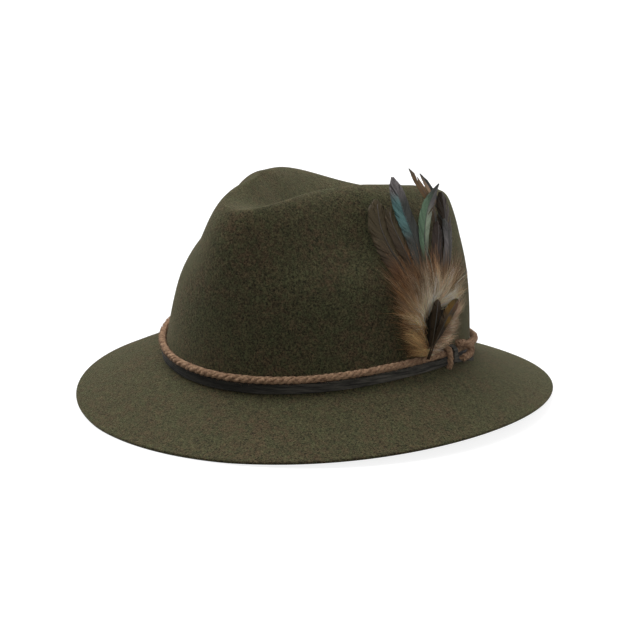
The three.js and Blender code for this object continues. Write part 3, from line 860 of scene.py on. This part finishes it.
def polyline_points(corners, places, closed=False):
    """Points at shares of a line's length"""
    corners = np.asarray(corners, float)
    if closed:
        corners = np.vstack([corners, corners[:1]])
    steps = np.linalg.norm(np.diff(corners, axis=0), axis=1)
    run = np.concatenate([[0], np.cumsum(steps)]) / steps.sum()
    return np.stack([np.interp(places, run, corners[:, k]) for k in range(2)], -1)


def middle_line(spec, radius, height):
    """Points in metres on the sheet, evenly spaced along the feather's middle"""
    given = np.array([(math.radians(a) * radius, share * height) for a, share in spec.line])
    ends = np.vstack([given[:1], given, given[-1:]])
    fine = [between(*ends[i:i + 4], f)
            for i in range(len(given) - 1) for f in np.linspace(0, 1, 24, endpoint=False)]
    return polyline_points([*fine, given[-1]], np.linspace(0, 1, 160))


def along_stops(stops, palette, t):
    """Colour at shares of a feather's length, from its text of places and colour names"""
    places, names = zip(*(stop.split() for stop in stops.split(", ")))
    places = [float(share) for share in places]
    colors = np.array([tuple(getattr(palette, name)) for name in names])
    return np.stack([np.interp(t, places, colors[:, k]) for k in range(3)], -1)


SMALL_OFF = 9.8 * MM
SMALL_PITCH = 1.1 * MM
VANE_SPAN = (0.16, 0.997)  # of the feather's length
SPLIT_SPAN = (0.35, 0.93)  # of the vane's barbs
BARB_RAKE = 0.085  # of the feather's length, as is a split's width
SPLIT_WIDTH = 0.011
VANE_POINTS = 7
VANE_DROOP = 0.55 * MM
VANE_THICK = 0.12 * MM


def feather(spec, sheet, palette, height, off, seed, barbs):
    """Two vanes whose rows follow the barbs, parted here and there, and a tapered rachis"""
    rng = np.random.default_rng(seed)
    line = middle_line(spec, sheet.radius, height)
    shares = np.linspace(0, 1, len(line))

    def middle(t):
        return np.stack([np.interp(t, shares, line[:, k]) for k in range(2)], -1)

    def normal(t):
        way = middle(np.minimum(t + 0.02, 1)) - middle(np.maximum(t - 0.02, 0))
        way /= np.linalg.norm(way, axis=-1, keepdims=True) + TINY
        return np.stack([way[..., 1], -way[..., 0]], -1)

    def half(t):
        return np.interp(t, STATIONS, FORMS[spec.form]) * spec.width * MM / 2

    def uneven(window):
        return np.convolve(rng.normal(size=barbs + window - 1), np.ones(window) / window, "valid")

    t = np.linspace(*VANE_SPAN, barbs)
    index = np.arange(barbs)
    rake = BARB_RAKE * min(1.0, spec.width / 8)
    slant = rake * np.clip((1 - t) / 0.12, 0, 1)
    q = np.linspace(0, 1, VANE_POINTS)
    rows = np.arange(*(int(barbs * share) for share in SPLIT_SPAN))
    cuts = sorted(rng.choice(rows, spec.splits * 2, replace=False))
    points, faces, tints = [], [], []
    for side, stops in ((-1, spec.left), (1, spec.right)):
        mine = cuts[::2] if side < 0 else cuts[1::2]
        reach = np.minimum(t + slant * (1 + 0.05 * rng.normal(size=barbs)), 1.0)
        jagged = 1 - np.abs(rng.normal(size=barbs)) * 0.045
        shift = np.zeros(barbs)
        for cut in mine:
            fade = np.exp(-np.abs(index - cut - 0.5) / 5)
            shift += np.where(index <= cut, -1, 1) * fade * SPLIT_WIDTH
        ripple = uneven(5) * 0.10 * MM
        tone = 1 + 0.20 * uneven(3)
        start = len(points)
        for i in range(barbs):
            at = np.clip(t[i] + (reach[i] + shift[i] - t[i]) * q ** 1.25, 0, 1)
            out = side * half(np.full(VANE_POINTS, reach[i])) * q * jagged[i]
            flat = middle(at) + normal(at) * out[:, None]
            lift = off + 0.18 * MM - VANE_DROOP * (spec.width / 10) * q ** 2 + ripple[i] * q
            dim = tone[i] * (1 - 0.25 * (q > 0.9) * rng.uniform())
            dim = dim * (1 - 0.35 * np.exp(-(q / 0.07) ** 2))
            points.extend(sheet.points(flat, lift))
            tints.extend(along_stops(stops, palette, at) * dim[:, None])
        for i in range(barbs - 1):
            for k in range(VANE_POINTS - 1):
                if i in mine and k >= 2:
                    continue
                a = start + i * VANE_POINTS + k
                ring = (a, a + 1, a + VANE_POINTS + 1, a + VANE_POINTS)
                faces.append(ring if side < 0 else ring[::-1])
    vane = mesh_piece(spec.node + "_vane", points, faces, np.clip(tints, 0, 1))
    edited(vane, ("remove_doubles", dict(threshold=0.000004)), OUTWARD)
    apply(vane, "SOLIDIFY", thickness=VANE_THICK, offset=0.0)
    smooth(vane)
    return joined("vane", [vane, rachis(spec, sheet, palette, middle, off)])


def rachis(spec, sheet, palette, middle, off):
    """The feather's shaft, thick at its foot and fine at its tip"""
    steps, sides = 34, 6
    t = np.linspace(0, 0.97, steps)
    flat = middle(t)
    line = sheet.points(flat, off + 0.28 * MM)
    thick = np.interp(t, [0, 0.2, 1], [0.55, 0.38, 0.08]) * MM
    shade = along_stops("0 black, 0.3 brown, 0.6 slate, 1 violet", palette, t)
    points = []
    for i in range(steps):
        way = Vector(line[min(i + 1, steps - 1)] - line[max(i - 1, 0)]).normalized()
        side = way.cross(Vector((0, 0, 1)) if abs(way.z) < 0.9 else Vector((1, 0, 0))).normalized()
        other = way.cross(side)
        for k in range(sides):
            turn = 2 * math.pi * k / sides
            around = side * math.cos(turn) + other * math.sin(turn)
            points.append(Vector(line[i]) + around * thick[i])
    foot = tuple(reversed(range(sides)))
    tip = tuple(range((steps - 1) * sides, steps * sides))
    faces = [*tube_faces(steps, sides), foot, tip]
    shaft = mesh_piece(spec.node + "_rachis", points, faces, np.repeat(shade, sides, axis=0))
    smooth(shaft)
    return shaft


def plumed(context, specs, finish, height, off, pitch, seed, name, barbs=150):
    """Makes feathers on the plume's sheet, layer by layer, each a piece of its own"""
    plume = context.scene.hat_plume
    sheet = Sheet(plume, context.scene.hat_trim)
    for k, spec in enumerate(specs):
        piece = feather(spec, sheet, plume, height, off + spec.layer * pitch, seed + k, barbs)
        piece.name = name.format(spec.node)
        finished(piece, finish, [spec.node])


class HAT_OT_long_feathers(bpy.types.Operator):
    """The nine long feathers, each a piece of its own"""
    bl_idname = "hat.long_feathers"
    bl_label = "Long feathers"

    def execute(self, context):
        plume = context.scene.hat_plume
        silky = tinted_finish("silky_feather", 0.28, 0.48, 0.14, 0.5, 1900)
        plumed(context, LONG_FEATHERS, silky, plume.height, 0.0, plume.layer, 100, "long_{}")
        return {"FINISHED"}


class HAT_OT_small_feathers(bpy.types.Operator):
    """The two small dark feathers and their black stem, in front of the fur"""
    bl_idname = "hat.small_feathers"
    bl_label = "Small feathers"

    def execute(self, context):
        height = context.scene.hat_plume.small_height
        silky = tinted_finish("small_silky_feather", 0.3, 0.55, 0.05, 0.6, 1700)
        plumed(context, SMALL_FEATHERS, silky, height, SMALL_OFF, SMALL_PITCH, 200, "{}_barbs", 90)
        return {"FINISHED"}


# Fur

# Outline of the fur and the two lines its hairs grow from: degrees from the hat's front, mm over
# the table
FUR_OUTLINE = (
    (70.3, 42.7), (66.5, 46.4), (64.6, 52.3), (63.5, 60.2), (63.4, 68.9), (63.3, 77.5),
    (61.7, 86.1), (60.2, 95.7), (66.0, 100.5), (72.9, 99.9), (80.9, 100.0), (89.3, 97.5),
    (97.4, 93.5), (105.0, 85.3), (104.0, 74.6), (101.6, 63.8), (98.6, 54.8), (93.2, 47.2),
    (86.8, 44.5), (78.2, 42.2),
)
FUR_CORE = (
    (76.6, 42.6), (75.4, 49.0), (74.6, 55.5), (75.2, 61.5), (77.0, 66.2), (80.2, 69.0),
    (84.6, 70.2), (89.6, 69.6),
)
FUR_SIDE_CORE = ((77.0, 42.6), (81.5, 46.0), (86.0, 51.5), (89.0, 58.5), (90.0, 66.0))
CORE_POINTS = 80
WISP_HAIRS = 14
HAIR_STEPS = 5


def tuft(sheet, plume, name, amount, seed, under):
    """Hairs in small wisps: each wisp has a foot on a core and a tip at the outline"""
    rng = np.random.default_rng(seed)
    outline, core, side_core = (
        np.array([sheet.flat(*p) for p in line])
        for line in (FUR_OUTLINE, FUR_CORE, FUR_SIDE_CORE))
    wisps = amount // WISP_HAIRS
    wisp = rng.integers(0, wisps, amount)
    rim = polyline_points(outline, rng.uniform(0, 1, wisps), closed=True)[wisp]
    shares = np.linspace(0, 1, CORE_POINTS)
    fine = np.vstack([polyline_points(line, shares) for line in (core, side_core)])
    nearest = np.argmin(((rim[:, None] - fine[None]) ** 2).sum(2), axis=1)
    at_side = nearest >= CORE_POINTS
    back = rng.uniform(0.02, 0.30, wisps)[wisp]
    foot_at = np.clip((nearest % CORE_POINTS) / (CORE_POINTS - 1) - back, 0, 1)
    foot = np.where(at_side[:, None], polyline_points(side_core, foot_at),
                    polyline_points(core, foot_at))
    foot = foot + rng.normal(size=foot.shape) * 1.3 * MM
    foot[:, 1] = np.maximum(foot[:, 1], 0.4 * MM)
    reach = rng.beta(3.0, 1.3, wisps)[wisp] * rng.uniform(0.75, 1.08, amount)
    reach = np.clip(reach, 0.2, 1.04)
    if under:
        reach = rng.uniform(0.45, 0.85, amount)
    else:
        stray = rng.uniform(0, 1, amount) < 0.07
        reach = np.where(stray, rng.uniform(1.02, 1.28, amount), reach)
    start = fine[nearest]
    tip = start + (rim - start) * reach[:, None] + rng.normal(size=rim.shape) * 1.5 * MM
    tip[:, 1] = np.maximum(tip[:, 1], 0.8 * MM)
    span = np.linalg.norm(tip - foot, axis=1)
    lift = rng.uniform(0.04, 0.26, wisps)[wisp]
    bend = foot + (tip - foot) * 0.42 + np.array([0.05, 1.0]) * (span * lift)[:, None]
    bend += rng.normal(size=bend.shape) * 0.8 * MM
    flat = bowed(foot, bend, tip, HAIR_STEPS)
    flat[:, :, 1] = np.maximum(flat[:, :, 1], 0.2 * MM)
    t = np.linspace(0, 1, HAIR_STEPS)[None, :]
    base, crest, end = (1.4, 3.6, 2.2) if under else (4.0, 8.8, 4.2)
    end = end + 3.0 * (1 - np.clip(reach, 0, 1.1)[:, None])
    off = base * (1 - t) ** 2 + crest * 2 * t * (1 - t) + end * t ** 2
    off += np.clip((flat[:, :, 1] - 30 * MM) / (14 * MM), 0, 1) * 1.8
    layer = rng.uniform(0.5, 1.08, wisps)[wisp][:, None] * rng.uniform(0.92, 1.06, (amount, 1))
    off = (off * layer + (0.2 if under else 0.5)) * MM
    lines = sheet.points(flat, off)
    width = rng.uniform(0.13, 0.31, amount) * MM * (2.4 if under else 1.0)
    tints = fur_colors(
        plume, foot_at, at_side, flat / MM, start / MM, layer, rng, wisp, wisps)
    # painted shade: the underlayer's hairs are painted at three tenths of their colour, dark
    # beneath the top hairs
    return hairs(name, lines, taper(width, HAIR_STEPS), tints * (0.3 if under else 1.0))


def fur_colors(plume, foot_at, at_side, flat, nearest, layer, rng, wisp, wisps):
    """Cream at the core's upper end and tan at its foot, then orange brown; painted shade as dark
    hairs in the gaps and on the lower layers, painted highlight towards the tips
    """
    cream, tan, pink, orange, dark, rust = (np.array(tuple(getattr(plume, n))) for n in (
        "fur_light", "fur_tan", "fur_pink", "fur_orange", "fur_gap_shade", "rust"))
    away = np.linalg.norm(flat - nearest[:, None], axis=2)
    upper = np.clip((foot_at - 0.25) / 0.30, 0, 1)
    upper = (upper - 0.8 * np.clip((foot_at - 0.70) / 0.30, 0, 1))[:, None, None]
    pale = np.where(at_side[:, None, None], pink, tan * (1 - upper) + cream * upper)
    reach = rng.uniform(11.0, 20.0, wisps)[wisp][:, None] * (0.8 + 0.4 * upper[:, :, 0])
    core = (np.clip(1.25 - away / reach, 0, 1) ** 1.3)[..., None]
    right = np.clip((flat[:, :, 0] - 10) / 10, 0, 1)[..., None] * 0.7
    high = np.clip((flat[:, :, 1] - 34) / 14, 0, 1)[..., None] * 0.5
    fringe = orange * (1 - high) + rust * high
    fringe = fringe * (1 - right) + (pink * 0.4 + rust * 0.3) * right
    kind = rng.uniform(0, 1, wisps)[wisp][:, None, None]
    # painted shade: about a third of the wisps take the near-black gap colour
    fringe = np.where(kind < 0.32, dark, np.where(kind > 0.84, (pale + fringe) / 2, fringe))
    tone = np.exp(rng.normal(size=wisps) * 0.36)[wisp]
    tone = tone * np.exp(rng.normal(size=len(wisp)) * 0.34)
    # painted shade: hairs lying in the lower layers are painted darker
    depth = np.clip((layer - 0.40) / 0.5, 0.7, 1)[..., None]
    # painted shade at the hairs' feet and painted highlight at their tips: each hair grows lighter
    # from foot to tip
    painted_tip_light = np.linspace(0.85, 1.35, flat.shape[1])[None, :, None]
    made = (pale * core + fringe * (1 - core)) * tone[:, None, None] * depth * painted_tip_light
    return np.clip(made, 0.003, 0.9)


class HAT_OT_fur(bpy.types.Operator):
    """The tuft of fur: pale at the line it grows from, orange brown further out, with painted shade
    in dark wisps and in its darker underlayer
    """
    bl_idname = "hat.fur"
    bl_label = "Fur"

    def execute(self, context):
        plume = context.scene.hat_plume
        sheet = Sheet(plume, context.scene.hat_trim)
        soft = tinted_finish("soft_fur", 0.2, 0.7, 0.15, 0.3, 1500)
        under = tuft(sheet, plume, "fur_underlayer", plume.fur_count // 3, 51, True)
        finished(under, soft, [])
        over = tuft(sheet, plume, "fur_tuft", plume.fur_count, 52, False)
        finished(over, soft, ["fur"])
        return {"FINISHED"}


# Stage

SUNS = (
    # name, place, tilt in degrees, energy, breadth in degrees
    ("soft_top_light", (0, 0, 2), (0, -29, 0), 3.15, 66),
    ("soft_back_light", (1, 1, 2), (-45, 36, 0), 0.8, 60),
)


def staged(context, name, stage, glow):
    """Finishes the piece just added as part of the stage, which gives the hat no light"""
    piece = context.active_object
    piece.name = name
    bpy.ops.object.transform_apply(location=True, rotation=True, scale=True)
    piece.data.materials.append(pale_finish(stage, name, glow))
    piece.visible_diffuse = False
    return piece


def add_lights(context):
    for name, location, tilt, energy, breadth in SUNS:
        rotation = [math.radians(a) for a in tilt]
        bpy.ops.object.light_add(type="SUN", location=location, rotation=rotation)
        sun = context.active_object
        sun.name = name
        put(sun.data, energy=energy, angle=math.radians(breadth))
    bpy.ops.object.light_add(type="AREA", location=(1.45, -1.25, 0.62))
    front = context.active_object
    front.name = "front_fill"
    put(front.data, size=1.6, energy=8.0)
    aim = Vector((0, 0, 60 * MM)) - front.location
    front.rotation_euler = aim.to_track_quat("-Z", "Y").to_euler()
    world = bpy.data.worlds.new("studio")
    context.scene.world = world
    world.use_nodes = True
    tree = world.node_tree
    generated = added(tree, "TexCoord").outputs["Generated"]
    height = added(tree, "SeparateXYZ", {"Vector": generated}).outputs["Z"]
    above = times(spread(height, -0.02, 0.02), 0.32)
    feed(tree.nodes["Background"], {"Color": (1, 1, 1), "Strength": above})


def add_camera(context, stage):
    """The camera at its place round the hat, turned about its own axis by the roll"""
    turn, rise, roll = stage.turn, stage.rise, stage.roll
    back = Vector((math.sin(turn) * math.cos(rise), -math.cos(turn) * math.cos(rise),
                   math.sin(rise)))
    right = Vector((math.cos(turn), math.sin(turn), 0))
    target = right * stage.target_side + Vector((0, 0, stage.target_height))
    right = right * math.cos(roll) + back.cross(right) * math.sin(roll)
    bpy.ops.object.camera_add(location=target + back * stage.distance)
    camera = context.active_object
    camera.name = "photo_camera"
    camera.rotation_mode = "QUATERNION"
    basis = (right, back.cross(right), back)
    camera.rotation_quaternion = Matrix(basis).transposed().to_quaternion()
    put(camera.data, sensor_width=36.0, lens=stage.lens, clip_start=0.05, clip_end=60.0)
    context.scene.camera = camera


class HAT_OT_stage(bpy.types.Operator):
    """Pale floor and backdrop, soft light from above and the camera"""
    bl_idname = "hat.stage"
    bl_label = "Stage"

    def execute(self, context):
        stage = context.scene.hat_stage
        add_camera(context, stage)
        bpy.ops.object.select_all(action="DESELECT")
        bpy.ops.mesh.primitive_plane_add(size=30.0, location=(0, 0, -0.2 * MM))
        staged(context, "pale_floor", stage, stage.glow)
        bpy.ops.mesh.primitive_cylinder_add(
            vertices=96, radius=14.0, depth=24.0, end_fill_type="NOTHING", location=(0, 0, 11.9))
        wall = staged(context, "pale_backdrop", stage, 1.0)
        put(wall, visible_glossy=False, visible_shadow=False)
        add_lights(context)
        context.scene.view_settings.view_transform = "Standard"
        return {"FINISHED"}


# Panel and run

STEPS = ("stage", "felt", "cord", "strap", "knot", "long_feathers", "fur", "small_feathers")


class HAT_PT_panel(bpy.types.Panel):
    """Sizes, colours and steps of the hat"""
    bl_idname = "HAT_PT_panel"
    bl_label = "Tyrolean hat"
    bl_space_type = "VIEW_3D"
    bl_region_type = "UI"
    bl_category = "Hat"

    def draw(self, context):
        for group in GROUPS:
            box = self.layout.box()
            box.label(text=group.replace("hat_", "").title())
            settings = getattr(context.scene, group)
            for name in settings.__annotations__:
                box.prop(settings, name)
        for step in STEPS:
            self.layout.operator("hat." + step)


GROUPS = {
    "hat_felt": HatFeltSettings,
    "hat_trim": HatTrimSettings,
    "hat_plume": HatPlumeSettings,
    "hat_stage": HatStageSettings,
}
CLASSES = (
    *GROUPS.values(), HAT_OT_stage, HAT_OT_felt, HAT_OT_cord, HAT_OT_strap, HAT_OT_knot,
    HAT_OT_long_feathers, HAT_OT_fur, HAT_OT_small_feathers, HAT_PT_panel,
)


def register():
    for cls in CLASSES:
        bpy.utils.register_class(cls)
    for name, cls in GROUPS.items():
        setattr(bpy.types.Scene, name, bpy.props.PointerProperty(type=cls))


def unregister():
    for name in GROUPS:
        delattr(bpy.types.Scene, name)
    for cls in reversed(CLASSES):
        bpy.utils.unregister_class(cls)


def main():
    register()
    for step in STEPS:
        getattr(bpy.ops.hat, step)()


if __name__ == "__main__":
    main()
